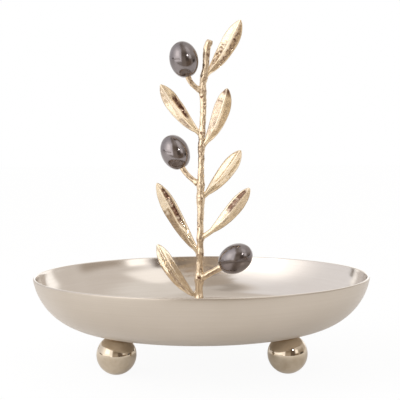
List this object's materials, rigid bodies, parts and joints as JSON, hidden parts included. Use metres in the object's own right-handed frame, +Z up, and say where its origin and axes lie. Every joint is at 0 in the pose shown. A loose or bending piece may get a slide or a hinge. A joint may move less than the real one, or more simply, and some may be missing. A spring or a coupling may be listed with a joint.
{
  "type": "footed serving dish",
  "caption": "Round shallow metal serving dish on ball feet, with a cast olive branch of leaves and dark olives standing in its middle, for sweets, nuts or rings.",
  "frame": {"origin": "on the table, under the dish's axis", "axes": "+Z up along the dish's axis, -Y towards the front, +X to the right as seen from the front"},
  "size_m": [0.165, 0.165, 0.1699],
  "materials": {
    "satin_nickel": "satin nickel outside, polished inside and on the lip",
    "polished_nickel": "mirror polished",
    "pale_gold": "polished casting, pale gold plate",
    "black_nickel": "smooth black nickel plate",
    "plain_steel": "plain zinc plate"
  },
  "bodies": {
    "root": {"dish": "satin_nickel", "ball_foot_front_left": "polished_nickel", "ball_foot_front_right": "polished_nickel", "ball_foot_rear": "polished_nickel", "foot_stud_front_left": "plain_steel", "foot_stud_front_right": "plain_steel", "foot_stud_rear": "plain_steel", "branch_screw": "plain_steel", "branch_washer": "plain_steel", "branch_stem": "pale_gold", "leaf_top_right": "pale_gold", "leaf_upper_right": "pale_gold", "leaf_middle_right": "pale_gold", "leaf_lower_right": "pale_gold", "leaf_upper_left": "pale_gold", "leaf_middle_left": "pale_gold", "leaf_bottom_left": "pale_gold", "olive_stalk_upper": "pale_gold", "olive_stalk_middle": "pale_gold", "olive_stalk_lower": "pale_gold", "olive_upper": "black_nickel", "olive_middle": "black_nickel", "olive_lower": "black_nickel"}
  },
  "joints": []
}
